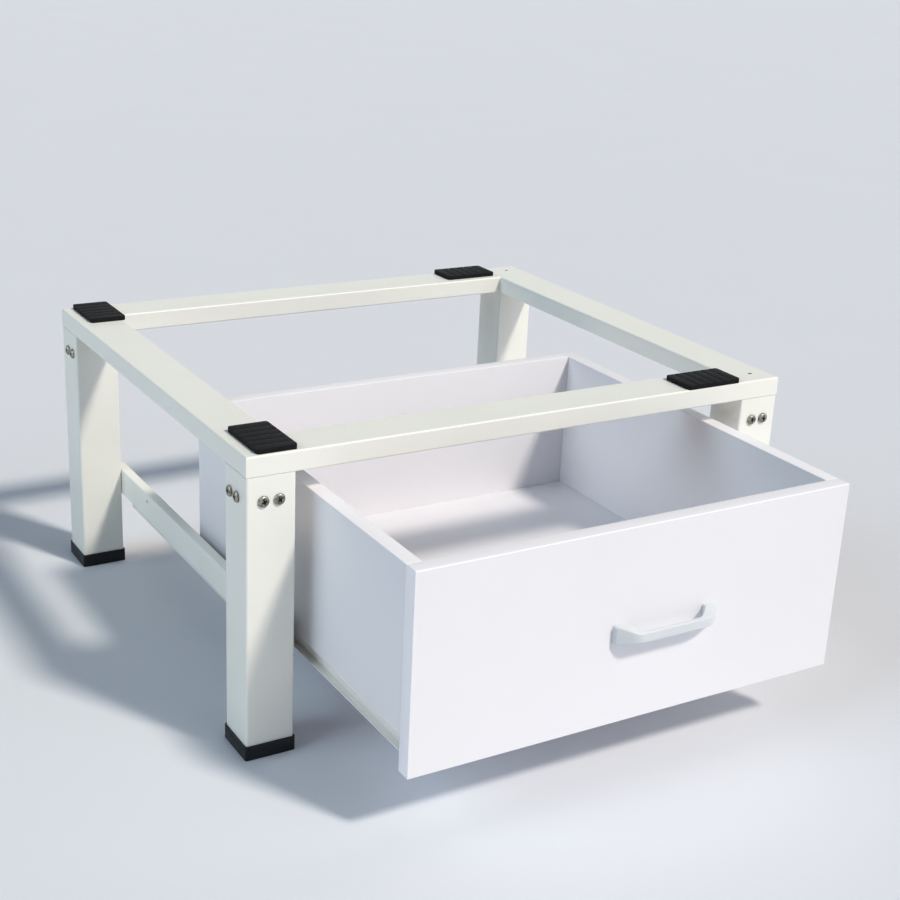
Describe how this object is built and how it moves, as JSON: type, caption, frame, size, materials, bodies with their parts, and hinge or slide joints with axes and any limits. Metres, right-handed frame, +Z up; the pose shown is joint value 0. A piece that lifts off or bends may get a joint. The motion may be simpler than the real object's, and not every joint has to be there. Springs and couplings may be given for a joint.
{
  "type": "washer pedestal drawer",
  "caption": "Open steel washer stand with square legs in rubber-footed caps and a white board drawer that rolls out on side runners, pulled by a bow handle.",
  "frame": {"origin": "middle of the part's box at floor level, with the drawer part way open as in the picture", "axes": "+X to the right seen from the front, +Y from the drawer's front towards the back of the stand, +Z up"},
  "size_m": [0.6374, 0.7577, 0.319],
  "materials": {
    "frame_paint": "cream-white powder coat, semi-gloss",
    "white_board": "white melamine-faced chipboard, satin",
    "bottom_board": "white melamine-faced chipboard, satin",
    "cap_plastic": "black moulded plastic, satin",
    "pad_rubber": "black rubber, matte",
    "runner_paint": "white epoxy-coated steel strip",
    "roller_nylon": "white nylon",
    "handle_plastic": "white moulded plastic, satin gloss",
    "dowel_wood": "plain beech",
    "zinc_steel": "bright zinc-plated steel"
  },
  "bodies": {
    "stand": {"front_rail": "frame_paint", "rear_rail": "frame_paint", "left_rail": "frame_paint", "right_rail": "frame_paint", "socket_front_left": "frame_paint", "socket_front_right": "frame_paint", "socket_rear_left": "frame_paint", "socket_rear_right": "frame_paint", "leg_front_left": "frame_paint", "leg_front_right": "frame_paint", "leg_rear_left": "frame_paint", "leg_rear_right": "frame_paint", "leg_screws": "zinc_steel", "foot_cap_front_left": "cap_plastic", "foot_cap_front_right": "cap_plastic", "foot_cap_rear_left": "cap_plastic", "foot_cap_rear_right": "cap_plastic", "pad_front_left": "pad_rubber", "pad_front_right": "pad_rubber", "pad_rear_left": "pad_rubber", "pad_rear_right": "pad_rubber", "lower_rail_left": "frame_paint", "lower_rail_right": "frame_paint", "lower_rail_screws": "zinc_steel", "fixed_runner_left": "runner_paint", "fixed_runner_right": "runner_paint", "fixed_runner_screws": "zinc_steel", "front_roller_axles": "zinc_steel"},
    "drawer": {"drawer_front": "white_board", "drawer_side_left": "white_board", "drawer_side_right": "white_board", "drawer_back": "white_board", "drawer_bottom": "bottom_board", "drawer_dowels": "dowel_wood", "cam_locks": "zinc_steel", "cam_bolts": "zinc_steel", "bottom_screws": "zinc_steel", "handle": "handle_plastic", "handle_screws": "zinc_steel", "drawer_runner_left": "runner_paint", "drawer_runner_right": "runner_paint", "drawer_runner_screws": "zinc_steel", "rear_roller_axles": "zinc_steel"},
    "front_roller_left": {"front_roller_left": "roller_nylon"},
    "front_roller_right": {"front_roller_right": "roller_nylon"},
    "rear_roller_left": {"rear_roller_left": "roller_nylon"},
    "rear_roller_right": {"rear_roller_right": "roller_nylon"}
  },
  "joints": [
    {"name": "drawer_slide", "type": "slide", "parent": "stand", "child": "drawer", "axis": [0, -1, 0], "range_m": [-0.191, 0.149]},
    {"name": "front_roller_left_spin", "type": "hinge", "parent": "stand", "child": "front_roller_left", "pos_m": [-0.242, -0.1069, 0.07975], "axis": [1, 0, 0], "continuous": true},
    {"name": "front_roller_right_spin", "type": "hinge", "parent": "stand", "child": "front_roller_right", "pos_m": [0.242, -0.1069, 0.07975], "axis": [1, 0, 0], "continuous": true},
    {"name": "rear_roller_left_spin", "type": "hinge", "parent": "drawer", "child": "rear_roller_left", "pos_m": [-0.246, 0.1091, 0.0787], "axis": [1, 0, 0], "continuous": true},
    {"name": "rear_roller_right_spin", "type": "hinge", "parent": "drawer", "child": "rear_roller_right", "pos_m": [0.246, 0.1091, 0.0787], "axis": [1, 0, 0], "continuous": true}
  ],
  "couplings": [
    {"joint": "front_roller_left_spin", "follows": "drawer_slide", "rad_per_m": 125},
    {"joint": "front_roller_right_spin", "follows": "drawer_slide", "rad_per_m": 125},
    {"joint": "rear_roller_left_spin", "follows": "drawer_slide", "rad_per_m": 142.86},
    {"joint": "rear_roller_right_spin", "follows": "drawer_slide", "rad_per_m": 142.86}
  ]
}
